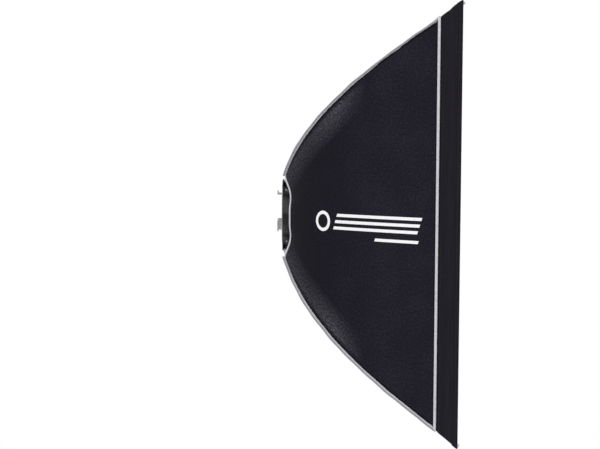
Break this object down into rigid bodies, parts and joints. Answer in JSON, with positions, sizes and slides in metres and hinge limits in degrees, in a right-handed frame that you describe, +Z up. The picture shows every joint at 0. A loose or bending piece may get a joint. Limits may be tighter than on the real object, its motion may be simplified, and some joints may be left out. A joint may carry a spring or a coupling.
{
  "type": "studio softbox",
  "caption": "Square fabric softbox on a rotating, folding speedring with bent corner rods, a recessed front diffuser and an inner diffuser.",
  "frame": {"origin": "centre of the bayonet insert's rear mating face, on the light axis", "axes": "+X along the light axis, out through the front diffuser; +Z up; +Y to the left when looking out through the front"},
  "size_m": [0.4146, 0.9964, 0.9964],
  "materials": {
    "bare_aluminium": "machined satin",
    "nylon": "smooth",
    "cast_metal": "fine black texture coat",
    "black_plastic": "moulded satin",
    "steel": "bright zinc",
    "rod_steel": "polished spring steel",
    "black_cloth": "woven black nylon with silver lining inside",
    "black_webbing": "matt woven",
    "grey_piping": "woven light grey binding",
    "diffusion_cloth": "translucent white ripstop"
  },
  "bodies": {
    "mount_insert": {"bayonet_insert": "bare_aluminium", "slip_washer": "nylon", "front_retainer": "cast_metal", "retainer_screw_1": "steel", "retainer_screw_2": "steel", "retainer_screw_3": "steel", "retainer_screw_4": "steel"},
    "rotor": {"speedring": "cast_metal", "hinge_pin_1": "steel", "hinge_pin_2": "steel", "hinge_pin_3": "steel", "hinge_pin_4": "steel", "side_panel_top": "black_cloth", "side_panel_left": "black_cloth", "side_panel_bottom": "black_cloth", "side_panel_right": "black_cloth", "lip_panel_top": "black_webbing", "lip_panel_left": "black_webbing", "lip_panel_bottom": "black_webbing", "lip_panel_right": "black_webbing", "front_diffuser": "diffusion_cloth", "inner_diffuser": "diffusion_cloth", "inner_strap_1": "black_webbing", "inner_strap_2": "black_webbing", "inner_strap_3": "black_webbing", "inner_strap_4": "black_webbing"},
    "knob": {"lock_knob": "black_plastic"},
    "arm_1": {"rod_arm_1": "cast_metal", "catch_pin_1": "steel", "rod_1": "rod_steel", "rod_cap_1": "black_plastic", "corner_pocket_1": "black_webbing", "corner_piping_1": "grey_piping"},
    "arm_2": {"rod_arm_2": "cast_metal", "catch_pin_2": "steel", "rod_2": "rod_steel", "rod_cap_2": "black_plastic", "corner_pocket_2": "black_webbing", "corner_piping_2": "grey_piping"},
    "arm_3": {"rod_arm_3": "cast_metal", "catch_pin_3": "steel", "rod_3": "rod_steel", "rod_cap_3": "black_plastic", "corner_pocket_3": "black_webbing", "corner_piping_3": "grey_piping"},
    "arm_4": {"rod_arm_4": "cast_metal", "catch_pin_4": "steel", "rod_4": "rod_steel", "rod_cap_4": "black_plastic", "corner_pocket_4": "black_webbing", "corner_piping_4": "grey_piping"},
    "release_catch_1": {"catch_1": "black_plastic"},
    "release_catch_2": {"catch_2": "black_plastic"},
    "release_catch_3": {"catch_3": "black_plastic"},
    "release_catch_4": {"catch_4": "black_plastic"}
  },
  "joints": [
    {"name": "box_rotation", "type": "hinge", "parent": "mount_insert", "child": "rotor", "pos_m": [0, 0, 0], "axis": [1, 0, 0], "continuous": true},
    {"name": "lock_knob_turn", "type": "hinge", "parent": "rotor", "child": "knob", "pos_m": [0.0125, 0.0935, 0], "axis": [0, 1, 0], "range_deg": [0, 360]},
    {"name": "arm_fold_1", "type": "hinge", "parent": "rotor", "child": "arm_1", "pos_m": [0.013, 0.07495, 0.07495], "axis": [0, 0.7071, -0.7071], "range_deg": [0, 60], "deforming": ["side_panel_top", "lip_panel_top", "inner_strap_1", "front_diffuser", "inner_diffuser"]},
    {"name": "arm_fold_2", "type": "hinge", "parent": "rotor", "child": "arm_2", "pos_m": [0.013, -0.07495, 0.07495], "axis": [0, 0.7071, 0.7071], "range_deg": [0, 60], "deforming": ["side_panel_left", "lip_panel_left", "inner_strap_2"]},
    {"name": "arm_fold_3", "type": "hinge", "parent": "rotor", "child": "arm_3", "pos_m": [0.013, -0.07495, -0.07495], "axis": [0, -0.7071, 0.7071], "range_deg": [0, 60], "deforming": ["side_panel_bottom", "lip_panel_bottom", "inner_strap_3"]},
    {"name": "arm_fold_4", "type": "hinge", "parent": "rotor", "child": "arm_4", "pos_m": [0.013, 0.07495, -0.07495], "axis": [0, -0.7071, -0.7071], "range_deg": [0, 60], "deforming": ["side_panel_right", "lip_panel_right", "inner_strap_4"]},
    {"name": "catch_press_1", "type": "hinge", "parent": "arm_1", "child": "release_catch_1", "pos_m": [0.03171, 0.09048, 0.09048], "axis": [0, -0.7071, 0.7071], "range_deg": [0, 8], "stiffness_Nm_per_rad": 0.4, "springref_deg": -11.46},
    {"name": "catch_press_2", "type": "hinge", "parent": "arm_2", "child": "release_catch_2", "pos_m": [0.03171, -0.09048, 0.09048], "axis": [0, -0.7071, -0.7071], "range_deg": [0, 8], "stiffness_Nm_per_rad": 0.4, "springref_deg": -11.46},
    {"name": "catch_press_3", "type": "hinge", "parent": "arm_3", "child": "release_catch_3", "pos_m": [0.03171, -0.09048, -0.09048], "axis": [0, 0.7071, -0.7071], "range_deg": [0, 8], "stiffness_Nm_per_rad": 0.4, "springref_deg": -11.46},
    {"name": "catch_press_4", "type": "hinge", "parent": "arm_4", "child": "release_catch_4", "pos_m": [0.03171, 0.09048, -0.09048], "axis": [0, 0.7071, 0.7071], "range_deg": [0, 8], "stiffness_Nm_per_rad": 0.4, "springref_deg": -11.46}
  ],
  "couplings": [
    {"joint": "arm_fold_2", "follows": "arm_fold_1", "ratio": 1},
    {"joint": "arm_fold_3", "follows": "arm_fold_1", "ratio": 1},
    {"joint": "arm_fold_4", "follows": "arm_fold_1", "ratio": 1}
  ]
}
